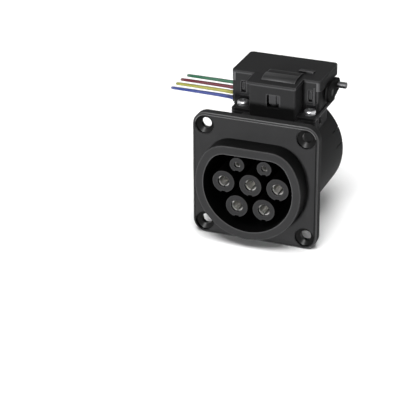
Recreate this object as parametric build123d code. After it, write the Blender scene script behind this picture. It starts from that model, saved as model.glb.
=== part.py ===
from build123d import *

import math
import os

# Panel charging socket with a lock actuator on its barrel, in millimetres.
# X runs to the viewer's right, Y backwards into the panel and Z up.
# The origin is the socket's axis at the flange's front face.

# Shared clearances
slide_gap = 0.3          # between pieces that slide past each other
running_gap = 0.05       # radial, of a shaft in its bearing
seat_gap = 0.05          # radial, of a piece pushed into its seat
tooth_backlash = 0.12    # taken off each flank of a gear tooth

# Flange
flange_side = 74.6
flange_thickness = 5.5
flange_corner = 8.0
flange_edge_round = 0.7
fixing_spacing = 60.0
fixing_hole_radius = 3.1
fixing_recess_radius = 5.6
fixing_recess_depth = 1.4
fixing_cone_depth = 1.6

# Collar and well, a circle with a flat top
collar_front = -12.0
collar_radius = 31.3
collar_flat = 24.2
well_radius = 26.4
well_flat = 19.1
well_corner = 11.0
collar_edge_round = 0.5

# Barrel
barrel_radius = 32.8
barrel_flat = 28.2
barrel_rear = 60.3
barrel_wall = 2.6
barrel_edge_chamfer = 0.6
carrier_front = 40.0
bolt_pocket_width = 30.0
well_wall = 2.5

# Rim slits that free three fingers at the barrel's rear
slit_width = 0.7
slit_front = 49.0
finger_angles = (73.0, 180.0, 287.0)
finger_half_angle = 8.0
finger_lip = 0.9
finger_lip_length = 1.4

# Contact carrier, contacts, retainer and rear cap
carrier_thickness = 6.0
tube_front = -6.9
power_pitch = 16.1
power_tube_radius = 6.5
signal_tube_radius = 4.25
signal_x = 8.05
signal_z = 11.5
power_mouth_radius = 3.45
signal_mouth_radius = 1.8
tube_lip = 1.5
key_width = 2.6
key_depth = 0.8
power_sleeve_radius = 4.2
power_pin_radius = 3.0
signal_sleeve_radius = 2.1
signal_pin_radius = 1.5
contact_setback = 0.4
contact_bore_length = 30.0
power_slot_width = 0.7
signal_slot_width = 0.4
contact_slot_length = 14.0
contact_shoulder = 1.3
shoulder_thickness = 2.0
tube_seat_ledge = 0.3      # of the carrier, in front of each contact's shoulder
crimp_length = 7.0
crimp_bore_depth = 6.0
power_crimp_bore = 2.4
signal_crimp_bore = 1.0
retainer_thickness = 3.0
cap_thickness = 1.6
cap_skirt_length = 5.0
power_exit_radius = 4.0
signal_exit_radius = 2.0

# Actuator seat on the barrel
seat_half_width = 25.2
seat_front = 28.8
seat_rear = 51.0
seat_floor = 18.0
seat_corner = 1.2
side_groove_front = 37.3
side_groove_width = 2.5
side_groove_low = 23.4
side_groove_high = 27.5
side_groove_depth = 2.0

# Actuator body
foot_thickness = 1.9
foot_edge_round = 0.35
body_left = -27.5
body_right = 24.3
body_front = 38.0
body_rear = 68.5
body_wall = 1.5
body_front_wall = 2.2
body_corner = 2.0
wall_rib_left = 21.2
wall_rib_right = 22.2
wall_rib_height = 0.4
wall_rib_top = 45.0
wall_groove_right = 23.4
wall_groove_depth = 0.6
wall_groove_low = 35.6
wall_groove_high = 43.1
screw_x = 20.15
screw_y = 35.3
screw_head_radius = 3.45
screw_head_height = 2.5
screw_shank_radius = 1.5
screw_shank_length = 9.0
screw_relief_radius = 4.0
screw_relief_height = 4.2
drive_width = 0.9
drive_length = 4.0
drive_depth = 1.4

# Lid
lid_left = -28.5
lid_right = 25.5
lid_rear = 69.8
lid_top = 49.4
lid_plate = 1.4
lid_skirt_bottom = 42.9
lid_corner = 2.4
lid_edge_round = 0.6
roof_half_width = 14.85
roof_front = 25.2
roof_front_top = 48.6
roof_underside = 47.2
roof_edge_round = 0.4
blister_y = 40.5
blister_z = 37.9
blister_radius = 12.9
blister_wall = 1.0
blister_left = -7.0
blister_right = 12.5
tab_left = 8.9
tab_right = 17.6
tab_front = 47.2
tab_rear = 53.0
tab_height = 1.3
latch_width = 3.0
latch_xs = (-21.05, 19.4)
latch_window_widths = (2.9, 2.6)
latch_window_low = 36.2
latch_window_high = 43.1
latch_nose_gap = 0.55
latch_nose_slope = 1.2
latch_thickness = 1.2

# Bolt guide block
guide_left = -13.1
guide_right = 14.6
guide_wall = 1.6
window_left = -2.4
window_right = 5.35
window_low = 34.8
window_high = 42.3
guide_core_gap = 2.0

# Drive train: the motor shares its axis with the release shaft
shaft_y = 52.0
shaft_z = 38.1
sector_pitch_radius = 16.0
sector_module = 0.8
sector_width = 6.0
sector_tooth_centres = (-4.5, 4.5, 13.5, 22.5, 31.5)
bolt_travel = 7.0
pressure_angle = 20.0
fine_module = 0.4
wheel_teeth = 32
pinion_teeth = 10
addendum_ratio = 0.65
dedendum_ratio = 0.95
release_shaft_radius = 2.0
lay_shaft_radius = 1.0
output_gear_left = 5.0
output_gear_width = 3.6
lay_gear_left = -9.6
lay_gear_width = 3.0
lay_pinion_overhang = 0.3
bearing_rib_left = -5.8
bearing_rib_width = 2.0
outer_rib_left = 10.2
outer_rib_width = 1.8
rib_top = 43.0
motor_radius = 7.7
motor_flat = 6.0
motor_left = -25.0
motor_length = 14.2
motor_nose_radius = 3.0
motor_nose_length = 0.6
motor_shaft_radius = 0.75
cradle_wall = 1.6
cradle_inset_left = 5.7
cradle_inset_right = 1.0

# Lock bolt
bolt_y = 31.6
bolt_half_width = 4.0
bolt_wing = 1.9
bolt_wing_width = 2.4
bolt_front = 28.3
bolt_back = 34.3
bolt_bottom = 36.0
bolt_front_top = 46.8
flag_front = 27.2
flag_left = -1.7
flag_right = 2.4
flag_low = 36.3
flag_high = 41.6
bolt_pin_radius = 3.0
bolt_pin_setback = 0.3
rack_top = 47.5
seal_thickness = 1.6
seal_width = 1.6

# Release lever and shaft seal
lever_left = 24.9
lever_right = 28.0
lever_hub_radius = 6.2
lever_collar_radius = 4.5
lever_collar_width = 0.9
lever_end_y = 62.2
lever_end_z = 39.0
lever_end_radius = 4.1
lever_pin_radius = 1.85
lever_pin_shank_radius = 1.4
lever_pin_tip = 33.2
wall_boss_radius = 6.0
wall_boss_width = 2.6
shaft_seal_radius = 3.6
shaft_seal_width = 1.5

# Position switch with its cam on the release shaft
switch_left = 13.6
switch_width = 6.4
switch_front = 40.8
switch_length = 12.8
switch_height = 4.9
button_radius = 0.9
button_height = 0.3
button_y = 46.2
cam_width = 2.4
cam_left = 15.6
cam_reach = 6.0
cam_tip_radius = 1.1
cam_rest_angle = 12.0
cam_hub_wall = 0.6

# Leads: four wires in a vertical row, each 0.5 m long
wire_radius = 0.9
wire_y = 42.0
wire_heights = (40.0, 36.9, 33.9, 30.8)
wire_names = ("green", "dark_red", "yellow", "blue")
wire_length = 500.0
grommet_left = -28.3
grommet_right = -25.2
grommet_half_width = 2.2
grommet_margin = 2.0
grommet_flange = 0.7
coil_x = -32.0
coil_outer_radius = 16.0
coil_pitch = 1.85
tie_thickness = 0.5
tie_width = 2.5

# What follows from the sizes above
foot_bottom = barrel_flat
foot_top = foot_bottom + foot_thickness
rear_bore_radius = barrel_radius - barrel_wall
rear_bore_flat = barrel_flat - barrel_wall
floor_z = -flange_side / 2
lid_underside = lid_top - lid_plate
rack_pitch_y = shaft_y - sector_pitch_radius
wheel_radius = fine_module * wheel_teeth / 2
pinion_radius = fine_module * pinion_teeth / 2
lay_y = shaft_y + wheel_radius + pinion_radius
power_points = [
    (0.0, 0.0),
    (power_pitch, 0.0),
    (-power_pitch, 0.0),
    (power_pitch / 2, -power_pitch * math.sqrt(3) / 2),
    (-power_pitch / 2, -power_pitch * math.sqrt(3) / 2),
]
signal_points = [(signal_x, signal_z), (-signal_x, signal_z)]
fixing_points = [(x, z) for x in (-fixing_spacing / 2, fixing_spacing / 2)
                 for z in (-fixing_spacing / 2, fixing_spacing / 2)]


# Simple solids placed by their limits

def block(x0, x1, y0, y1, z0, z1):
    """A box between two corners."""
    return Pos((x0 + x1) / 2, (y0 + y1) / 2, (z0 + z1) / 2) * Box(x1 - x0, y1 - y0, z1 - z0)


def rod_x(radius, x0, x1, y, z):
    """A cylinder along X."""
    return Pos((x0 + x1) / 2, y, z) * Rot(0, 90, 0) * Cylinder(radius, x1 - x0)


def rod_y(radius, y0, y1, x=0.0, z=0.0):
    """A cylinder along Y."""
    return Pos(x, (y0 + y1) / 2, z) * Rot(90, 0, 0) * Cylinder(radius, y1 - y0)


def rod_z(radius, z0, z1, x, y):
    """A cylinder along Z."""
    return Pos(x, y, (z0 + z1) / 2) * Cylinder(radius, z1 - z0)


def push_y(sketch, y0, y1):
    """Extrude a front-view outline from y0 back to y1."""
    return extrude(Plane.XZ.offset(-y0) * sketch, amount=y0 - y1)


def push_x(sketch, x0, x1):
    """Extrude a side-view outline, drawn in Y and Z, from x0 to x1."""
    return extrude(Plane.YZ.offset(x0) * sketch, amount=x1 - x0)


def push_z(sketch, z0, z1):
    """Extrude a plan outline from z0 up to z1."""
    return extrude(Plane.XY.offset(z0) * sketch, amount=z1 - z0)


def rounded_block(x0, x1, y0, y1, z0, z1, corner):
    """A box with rounded upright edges."""
    outline = Pos((x0 + x1) / 2, (y0 + y1) / 2) * RectangleRounded(x1 - x0, y1 - y0, corner)
    return push_z(outline, z0, z1)


def flat_circle(radius, flat, corner):
    """A circle cut by a flat at the top, with rounded ends to the flat."""
    outline = Circle(radius) - Pos(0, flat + radius) * Rectangle(2 * radius, 2 * radius)
    ends = outline.vertices().sort_by(Axis.Y)[-2:]
    return fillet(ends, corner)


def solid_of(shape):
    """The shape's solids as one compound, or the solid itself if there is one."""
    solids = shape.solids()
    return solids[0] if len(solids) == 1 else Compound(children=solids)


# Socket

def fixing_hole(x, z):
    """A recess with a coned bottom and a through hole, seen from the front."""
    cone_end = fixing_recess_depth + fixing_cone_depth
    profile = Polyline(
        (0, -1),
        (fixing_recess_radius, -1),
        (fixing_recess_radius, fixing_recess_depth),
        (fixing_hole_radius, cone_end),
        (fixing_hole_radius, flange_thickness + 1),
        (0, flange_thickness + 1),
        close=True,
    )
    cutter = revolve(make_face(profile), Axis.Y)
    return Pos(x, 0, z) * cutter


def flange():
    plate = push_y(RectangleRounded(flange_side, flange_side, flange_corner), 0, flange_thickness)
    rims = plate.faces().sort_by(Axis.Y)
    return fillet(rims[0].edges() + rims[-1].edges(), flange_edge_round)


def collar():
    ring_width = collar_radius - well_radius
    outline = flat_circle(collar_radius, collar_flat, well_corner + ring_width)
    tube = push_y(outline, collar_front, flange_thickness / 2)
    return fillet(tube.faces().sort_by(Axis.Y)[0].edges(), collar_edge_round)


def barrel():
    outline = Circle(barrel_radius) - Pos(0, barrel_flat + barrel_radius) * Rectangle(
        2 * barrel_radius, 2 * barrel_radius)
    tube = push_y(outline, flange_thickness / 2, barrel_rear)
    return chamfer(tube.faces().sort_by(Axis.Y)[-1].edges(), barrel_edge_chamfer)


def actuator_seat():
    seat = block(-seat_half_width, seat_half_width, seat_front, seat_rear, seat_floor, barrel_flat)
    uprights = seat.edges().filter_by(Axis.Z).group_by(Axis.Y)[0]
    seat = fillet(uprights, seat_corner)
    groove_depth = seat_half_width - side_groove_depth
    for side in (-1, 1):
        x0, x1 = sorted((side * groove_depth, side * (seat_half_width + 1)))
        seat -= block(x0, x1, side_groove_front, side_groove_front + side_groove_width,
                      side_groove_low, side_groove_high)
    return seat


def rear_bore_outline(clearance=0.0):
    """The bore behind the well, with its flat under the actuator seat."""
    radius = rear_bore_radius - clearance
    flat = rear_bore_flat - clearance
    return Circle(radius) - Pos(0, flat + radius) * Rectangle(2 * radius, 2 * radius)


def front_housing():
    housing = flange() + collar() + barrel() + actuator_seat()
    housing -= push_y(flat_circle(well_radius, well_flat, well_corner), collar_front - 1, carrier_front)
    housing -= push_y(rear_bore_outline(), carrier_front, barrel_rear + 1)
    # The pocket between the well's flat wall and the barrel's top wall
    pocket_half = bolt_pocket_width / 2
    housing -= block(-pocket_half, pocket_half, flange_thickness + well_wall, carrier_front,
                     well_flat + well_wall, rear_bore_flat)
    for x, z in fixing_points:
        housing -= fixing_hole(x, z)
    # The bolt's way through both walls, and the seat of its seal
    housing -= rod_z(bolt_pin_radius + running_gap, well_flat - 1, barrel_flat + 1, 0, bolt_y)
    housing -= rod_z(bolt_pin_radius + seal_width, barrel_flat - seal_thickness, barrel_flat + 1, 0, bolt_y)
    for side in (-1, 1):
        housing -= rod_z(screw_shank_radius + running_gap, foot_top - screw_shank_length - 1,
                         barrel_flat + 1, side * screw_x, screw_y)
    # Slits that free the rim fingers, and the lips that hold the cap
    lip_front = barrel_rear - finger_lip_length
    for angle in finger_angles:
        lip = rim_lip(lip_front)
        housing += Rot(0, angle, 0) * lip
        for edge in (angle - finger_half_angle, angle + finger_half_angle):
            slit = block(-slit_width / 2, slit_width / 2, slit_front, barrel_rear + 1,
                         rear_bore_radius - 2 * finger_lip, barrel_radius + 1)
            housing -= Rot(0, edge, 0) * slit
    return solid_of(housing)


def rim_lip(lip_front):
    """A sloped lip on the inside of one finger, drawn at the top of the bore."""
    inner = rear_bore_radius - finger_lip
    section = Polyline(
        (rear_bore_radius + 0.2, lip_front),
        (inner, lip_front),
        (rear_bore_radius - 0.1, barrel_rear - barrel_edge_chamfer),
        (rear_bore_radius + 0.2, barrel_rear - barrel_edge_chamfer),
        close=True,
    )
    sweep_angle = 2 * finger_half_angle
    ring = revolve(make_face(section), Axis.Y, sweep_angle)
    # The section is drawn along +X, so it is turned up and centred on the finger
    return Rot(0, -90 - sweep_angle / 2, 0) * ring


def tube_spigot_radius(sleeve_radius):
    """The radius of the tube's end that stands in the carrier, just inside the contact's shoulder."""
    return sleeve_radius + contact_shoulder - tube_seat_ledge


def contact_tube(radius, mouth_radius, sleeve_radius, x, z):
    """An insulating tube with a lipped mouth, a key groove below and a spigot in the carrier."""
    shoulder_front = carrier_front + carrier_thickness - shoulder_thickness
    tube = rod_y(radius, tube_front, carrier_front, x, z)
    tube -= block(x - key_width / 2, x + key_width / 2, tube_front - 1, carrier_front + 1,
                  z - radius - 1, z - radius + key_depth)
    tube += rod_y(tube_spigot_radius(sleeve_radius), carrier_front - 1, shoulder_front - seat_gap, x, z)
    tube -= rod_y(mouth_radius, tube_front - 1, tube_front + tube_lip, x, z)
    tube -= rod_y(sleeve_radius + seat_gap, tube_front + tube_lip, shoulder_front + 1, x, z)
    return solid_of(tube)


def contact_carrier():
    """The plate behind the well that holds the tubes and the contacts' shoulders."""
    carrier = push_y(rear_bore_outline(seat_gap), carrier_front, carrier_front + carrier_thickness)
    rear = carrier_front + carrier_thickness
    for sleeve_radius, points in ((power_sleeve_radius, power_points), (signal_sleeve_radius, signal_points)):
        for x, z in points:
            carrier -= rod_y(tube_spigot_radius(sleeve_radius) + seat_gap, carrier_front - 1, rear + 1, x, z)
            carrier -= rod_y(sleeve_radius + contact_shoulder + seat_gap,
                             rear - shoulder_thickness, rear + 1, x, z)
    return solid_of(carrier)


def contact(sleeve_radius, pin_radius, crimp_bore, slot_width, x, z):
    """A slotted female sleeve, its shoulder and its crimp end."""
    front = tube_front + tube_lip + contact_setback
    shoulder_rear = carrier_front + carrier_thickness
    crimp_rear = shoulder_rear + retainer_thickness + crimp_length
    sleeve = rod_y(sleeve_radius, front, crimp_rear, x, z)
    sleeve += rod_y(sleeve_radius + contact_shoulder, shoulder_rear - shoulder_thickness,
                    shoulder_rear, x, z)
    sleeve = chamfer(sleeve.faces().sort_by(Axis.Y)[0].edges(), 0.25)
    sleeve -= rod_y(pin_radius, front - 1, front + contact_bore_length, x, z)
    sleeve -= rod_y(crimp_bore, crimp_rear - crimp_bore_depth, crimp_rear + 1, x, z)
    reach = sleeve_radius + 1
    for angle in (0.0, 90.0):
        slot = block(-reach, reach, front - 1, front + contact_slot_length,
                     -slot_width / 2, slot_width / 2)
        sleeve -= Pos(x, 0, z) * Rot(0, angle, 0) * slot
    return solid_of(sleeve)


def contact_retainer():
    front = carrier_front + carrier_thickness
    rear = front + retainer_thickness
    plate = push_y(rear_bore_outline(seat_gap), front, rear)
    for x, z in power_points:
        plate -= rod_y(power_sleeve_radius + seat_gap, front - 1, rear + 1, x, z)
    for x, z in signal_points:
        plate -= rod_y(signal_sleeve_radius + seat_gap, front - 1, rear + 1, x, z)
    return solid_of(plate)


def rear_cap():
    """The cap behind the retainer, held by the rim lips, with a conductor exit per contact."""
    rear = barrel_rear - finger_lip_length
    plate_front = rear - cap_thickness
    skirt_front = plate_front - cap_skirt_length
    clearance = seat_gap
    cap = push_y(rear_bore_outline(clearance), skirt_front, rear)
    cap -= push_y(rear_bore_outline(clearance + barrel_wall / 2), skirt_front - 1, plate_front)
    for x, z in power_points:
        cap -= rod_y(power_exit_radius, plate_front - 1, rear + 1, x, z)
    for x, z in signal_points:
        cap -= rod_y(signal_exit_radius, plate_front - 1, rear + 1, x, z)
    return solid_of(cap)


# Bolt and its guide

def tooth_outline(module, teeth, centre_angle, tip, root):
    """The corners of one gear tooth, with involute flanks thinned for backlash."""
    pitch = module * teeth / 2
    base = pitch * math.cos(math.radians(pressure_angle))
    half_pitch_angle = math.pi / (2 * teeth) - tooth_backlash / pitch
    involute_at_pitch = math.tan(math.radians(pressure_angle)) - math.radians(pressure_angle)
    flank = [(root, half_pitch_angle + involute_at_pitch)]
    steps = 3
    start = max(base, root)
    for step in range(steps + 1):
        radius = start + (tip - start) * step / steps
        roll = math.acos(min(1.0, base / radius))
        involute = math.tan(roll) - roll
        flank.append((radius, half_pitch_angle + involute_at_pitch - involute))
    if root >= base:
        flank = flank[1:]
    centre = math.radians(centre_angle)
    right = [(r * math.cos(centre - a), r * math.sin(centre - a)) for r, a in flank]
    left = [(r * math.cos(centre + a), r * math.sin(centre + a)) for r, a in reversed(flank)]
    return right + left


def gear_outline(module, teeth, first_angle):
    """A spur gear's outline with short teeth, about its own centre."""
    pitch = module * teeth / 2
    tip = pitch + addendum_ratio * module
    root = pitch - dedendum_ratio * module
    corners = []
    for index in range(teeth):
        corners += tooth_outline(module, teeth, first_angle + 360.0 * index / teeth, tip, root)
    return make_face(Polyline(*corners, close=True))


def lock_bolt():
    """The carriage with side wings, its rack at the back, and the pin that enters the well."""
    carriage = block(-bolt_half_width, bolt_half_width, bolt_front, bolt_back, bolt_bottom, bolt_front_top)
    carriage = chamfer(carriage.faces().sort_by(Axis.Y)[0].edges(), 0.4)
    # The flag that is seen through the guide's window
    carriage += block(flag_left, flag_right, flag_front, bolt_front + 0.5, flag_low, flag_high)
    wing_reach = bolt_half_width + bolt_wing
    carriage += block(-wing_reach, wing_reach, bolt_y - bolt_wing_width / 2,
                      bolt_y + bolt_wing_width / 2, bolt_bottom, bolt_front_top)
    carriage += push_x(rack_outline(), -sector_width / 2 + slide_gap, sector_width / 2 - slide_gap)
    pin_tip = well_flat + bolt_pin_setback
    pin = rod_z(bolt_pin_radius, pin_tip, bolt_bottom + 1, 0, bolt_y)
    pin = chamfer(pin.faces().sort_by(Axis.Z)[0].edges(), 0.5)
    return solid_of(carriage + pin)


def rack_outline():
    """The rack's side view: straight-flanked teeth that face the release shaft."""
    tooth_pitch = math.pi * sector_module
    slope = math.tan(math.radians(pressure_angle))
    tip_y = rack_pitch_y + addendum_ratio * sector_module
    root_y = rack_pitch_y - dedendum_ratio * sector_module
    half_at_pitch = tooth_pitch / 4 - tooth_backlash
    half_tip = half_at_pitch - slope * (tip_y - rack_pitch_y)
    half_root = half_at_pitch + slope * (rack_pitch_y - root_y)
    corners = [(bolt_back - 0.5, bolt_bottom), (root_y, bolt_bottom)]
    # A tooth lies on the pitch line at the height of the shaft at rest
    count = int((rack_top - shaft_z - half_root) / tooth_pitch)
    for index in range(0, count + 1):
        centre = shaft_z + index * tooth_pitch
        corners += [
            (root_y, centre - half_root),
            (tip_y, centre - half_tip),
            (tip_y, centre + half_tip),
            (root_y, centre + half_root),
        ]
    corners += [(root_y, rack_top), (bolt_back - 0.5, rack_top)]
    return make_face(Polyline(*corners, close=True))


def bolt_seal():
    outer = bolt_pin_radius + seal_width - seat_gap
    bottom = barrel_flat - seal_thickness
    ring = rod_z(outer, bottom, barrel_flat, 0, bolt_y)
    return ring - rod_z(bolt_pin_radius + running_gap, bottom - 1, barrel_flat + 1, 0, bolt_y)


def bolt_guide():
    guide = rounded_block(guide_left, guide_right, roof_front, body_front, foot_bottom,
                          roof_underside, 1.0)
    channel_half = bolt_half_width + slide_gap
    guide -= block(-channel_half, channel_half, roof_front + guide_wall, body_front + 1,
                   foot_bottom - 1, roof_underside + 1)
    wing_half = channel_half + bolt_wing
    guide -= block(-wing_half, wing_half, bolt_y - bolt_wing_width / 2 - slide_gap,
                   bolt_y + bolt_wing_width / 2 + slide_gap, foot_bottom - 1, roof_underside + 1)
    guide -= block(window_left, window_right, roof_front - 1, roof_front + guide_wall + 0.1,
                   window_low, window_high)
    # Cores that keep the walls even
    core_inner = wing_half + guide_core_gap
    for x0, x1 in ((guide_left + guide_wall, -core_inner), (core_inner, guide_right - guide_wall)):
        guide -= block(x0, x1, roof_front + guide_wall, body_front - guide_wall,
                       foot_top, roof_underside + 1)
    return solid_of(guide)


# Actuator tray and lid

def actuator_body():
    foot = rounded_block(-seat_half_width, seat_half_width, seat_front, body_rear - 2,
                         foot_bottom, foot_top, seat_corner)
    foot = fillet(foot.faces().sort_by(Axis.Z)[-1].edges(), foot_edge_round)
    foot -= block(guide_left - seat_gap, guide_right + seat_gap, seat_front - 1, body_front,
                  foot_bottom - 1, foot_top + 1)
    tray = rounded_block(body_left, body_right, body_front, body_rear, foot_bottom,
                         lid_underside, body_corner)
    tray -= rounded_block(body_left + body_wall, body_right - body_wall, body_front + body_front_wall,
                          body_rear - body_wall, foot_top, lid_underside + 1, 1.0)
    body = foot + tray
    inside_right = body_right - body_wall
    inside_front = body_front + body_front_wall
    inside_rear = body_rear - body_wall
    # Bearing ribs across the tray, the motor cradle and the boss round the lever's shaft
    rib_right = bearing_rib_left + bearing_rib_width
    body += block(bearing_rib_left, rib_right, shaft_y - 6, inside_rear, foot_top - 0.5, rib_top)
    body += block(outer_rib_left, outer_rib_left + outer_rib_width, lay_y - 4.0, inside_rear,
                  foot_top - 0.5, rib_top)
    body += rod_x(wall_boss_radius, inside_right - wall_boss_width, body_right, shaft_y, shaft_z)
    motor_right = motor_left + motor_length
    for x0 in (motor_left + cradle_inset_left, motor_right - cradle_inset_right - cradle_wall):
        body += block(x0, x0 + cradle_wall, inside_front, inside_rear, foot_top - 0.5, shaft_z)
    body -= motor_envelope(seat_gap)
    # Shaft bores
    body -= rod_x(release_shaft_radius + running_gap, bearing_rib_left - 1, body_right + 1,
                  shaft_y, shaft_z)
    body -= rod_x(lay_shaft_radius + running_gap, bearing_rib_left - 1,
                  outer_rib_left + outer_rib_width + 1, lay_y, shaft_z)
    body -= rod_x(shaft_seal_radius, body_right - shaft_seal_width, body_right + 1, shaft_y, shaft_z)
    # Room for the lay gear's rim in the rear wall
    lay_gear_tip = wheel_radius + addendum_ratio * fine_module + slide_gap
    body -= rod_x(lay_gear_tip, lay_gear_left - slide_gap, lay_gear_left + lay_gear_width + slide_gap,
                  lay_y, shaft_z)
    # The sector's way through the front wall and the floor
    sweep = sector_width / 2 + slide_gap
    body -= block(-sweep, sweep, body_front - 1, inside_front + 0.1, foot_bottom - 1, lid_underside + 1)
    body -= block(-sweep, sweep, body_front - 1, body_front + 6.0, foot_bottom - 1, foot_top + 0.1)
    # Screw holes with room for the heads
    for side in (-1, 1):
        body -= rod_z(screw_shank_radius + running_gap, foot_bottom - 1, foot_top + 1,
                      side * screw_x, screw_y)
        body -= rod_z(screw_relief_radius, foot_top, foot_top + screw_relief_height,
                      side * screw_x, screw_y)
    # A rib and a groove beside the right window
    body += block(wall_rib_left, wall_rib_right, body_front - wall_rib_height, body_front + 0.1,
                  foot_top + screw_relief_height, wall_rib_top)
    body -= block(wall_rib_right, wall_groove_right, body_front - 1, body_front + wall_groove_depth,
                  wall_groove_low, wall_groove_high)
    # Windows for the lid's snap tongues
    for x, width in zip(latch_xs, latch_window_widths):
        body -= block(x - width / 2, x + width / 2, body_front - 1, inside_front + 0.1,
                      latch_window_low, latch_window_high)
    # Slot for the wire grommet, open at the top for assembly
    body -= block(body_left - 1, grommet_right + seat_gap, wire_y - grommet_half_width,
                  wire_y + grommet_half_width, wire_heights[-1] - grommet_margin + 0.6,
                  wire_heights[0] + grommet_margin)
    return solid_of(body)


def motor_envelope(clearance):
    """The can's flat-sided outline, drawn about the shaft and run along X."""
    radius = motor_radius + clearance
    flat = motor_flat + clearance
    outline = Circle(radius) & Rectangle(2 * radius, 2 * flat)
    return push_x(Pos(shaft_y, shaft_z) * outline, motor_left - clearance,
                  motor_left + motor_length + clearance)


def blister(radius, left, right):
    """The round cover over the sector, a cylinder lying along X."""
    return rod_x(radius, left, right, blister_y, blister_z)


def lid_shell_outline(inset):
    """The lid's plan: the tray's cover and the roof over the bolt guide."""
    cover = Pos((lid_left + lid_right) / 2, (body_front + lid_rear) / 2) * RectangleRounded(
        lid_right - lid_left - 2 * inset, lid_rear - body_front - 2 * inset, lid_corner - inset)
    return cover


def roof():
    """The roof over the guide, whose top falls gently to the front."""
    side = Polyline(
        (roof_front, roof_underside),
        (roof_front, roof_front_top),
        (body_front + 1, lid_top),
        (body_front + 1, roof_underside),
        close=True,
    )
    cover = push_x(make_face(side), -roof_half_width, roof_half_width)
    edges = cover.faces().sort_by(Axis.Z)[-1].edges().filter_by(Axis.X).sort_by(Axis.Y)[:1]
    return fillet(edges, roof_edge_round)


def actuator_lid():
    lid = push_z(lid_shell_outline(0), lid_skirt_bottom, lid_top)
    lid = fillet(lid.faces().sort_by(Axis.Z)[-1].edges(), lid_edge_round)
    lid += roof()
    above = block(lid_left, lid_right, roof_front - 5, lid_rear, lid_top - 4.0, lid_top + 10)
    bulge = blister(blister_radius, blister_left, blister_right) & above
    lid += bulge
    tab_side = Polyline(
        (tab_front, lid_top - 0.2),
        (tab_front, lid_top + tab_height),
        (tab_rear, lid_top),
        (tab_rear, lid_top - 0.2),
        close=True,
    )
    lid += push_x(make_face(tab_side), tab_left, tab_right)
    # Hollow below: the tray's walls stand inside the skirt
    tray_plan = Pos((body_left + body_right) / 2, (body_front + body_rear) / 2) * RectangleRounded(
        body_right - body_left + 2 * seat_gap, body_rear - body_front + 2 * seat_gap, body_corner)
    lid -= push_z(tray_plan, lid_skirt_bottom - 1, lid_underside)
    # The skirt is open in front, where the pillars and the guide stand
    lid -= block(guide_left - seat_gap, guide_right + seat_gap, roof_front - 1, body_front + 1,
                 lid_skirt_bottom - 1, roof_underside)
    hollow = blister(blister_radius - blister_wall, blister_left + blister_wall,
                     blister_right - blister_wall)
    lid -= hollow
    for x, width in zip(latch_xs, latch_window_widths):
        lid += snap_tongue(x, width)
    return solid_of(lid)


def snap_tongue(x, window_width):
    """A tongue inside the tray's front wall, with a sloped nose that fills most of the window."""
    wall_back = body_front + body_front_wall + seat_gap
    half = latch_width / 2
    tongue = block(x - half, x + half, wall_back, wall_back + latch_thickness,
                   latch_window_low + 0.3, lid_underside + 0.2)
    nose_half = window_width / 2 - latch_nose_gap
    nose_low = latch_window_low + latch_nose_gap
    nose_top = latch_window_high - latch_nose_gap
    nose = Polyline(
        (wall_back + 0.1, nose_low),
        (wall_back - 0.5, nose_low),
        (body_front + 0.4, nose_low + latch_nose_slope),
        (body_front + 0.4, nose_top),
        (wall_back + 0.1, nose_top),
        close=True,
    )
    return tongue + push_x(make_face(nose), x - nose_half, x + nose_half)


def actuator_screws():
    """Two pan-head screws with a cross recess."""
    screws = []
    for side in (-1, 1):
        head = rod_z(screw_head_radius, foot_top, foot_top + screw_head_height, 0, 0)
        head = fillet(head.faces().sort_by(Axis.Z)[-1].edges(), 1.1)
        for angle in (35.0, 125.0):
            bar = Rot(0, 0, angle) * block(-drive_length / 2, drive_length / 2, -drive_width / 2,
                                           drive_width / 2, foot_top + screw_head_height - drive_depth,
                                           foot_top + screw_head_height + 1)
            head -= bar
        shank = rod_z(screw_shank_radius, foot_top - screw_shank_length, foot_top + 0.5, 0, 0)
        shank = chamfer(shank.faces().sort_by(Axis.Z)[0].edges(), 0.5)
        screws.append(Pos(side * screw_x, screw_y, 0) * solid_of(head + shank))
    return Compound(children=screws)


# Release shaft group

def output_shaft():
    left = bearing_rib_left - 0.3
    right = lever_right - 0.4
    shaft = rod_x(release_shaft_radius, left, right, shaft_y, shaft_z)
    # Flat that carries the lever, and the cam for the switch
    shaft -= block(lever_left - 0.1, right + 1, shaft_y - 3, shaft_y + 3,
                   shaft_z + release_shaft_radius - 0.5, shaft_z + release_shaft_radius + 1)
    angle = math.radians(180.0 - cam_rest_angle)
    tip = (cam_reach * math.cos(angle), cam_reach * math.sin(angle))
    outline = make_hull([
        *(Circle(release_shaft_radius + cam_hub_wall).edges()),
        *((Pos(*tip) * Circle(cam_tip_radius)).edges()),
    ])
    shaft += push_x(Pos(shaft_y, shaft_z) * outline, cam_left, cam_left + cam_width)
    return solid_of(shaft)


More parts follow.
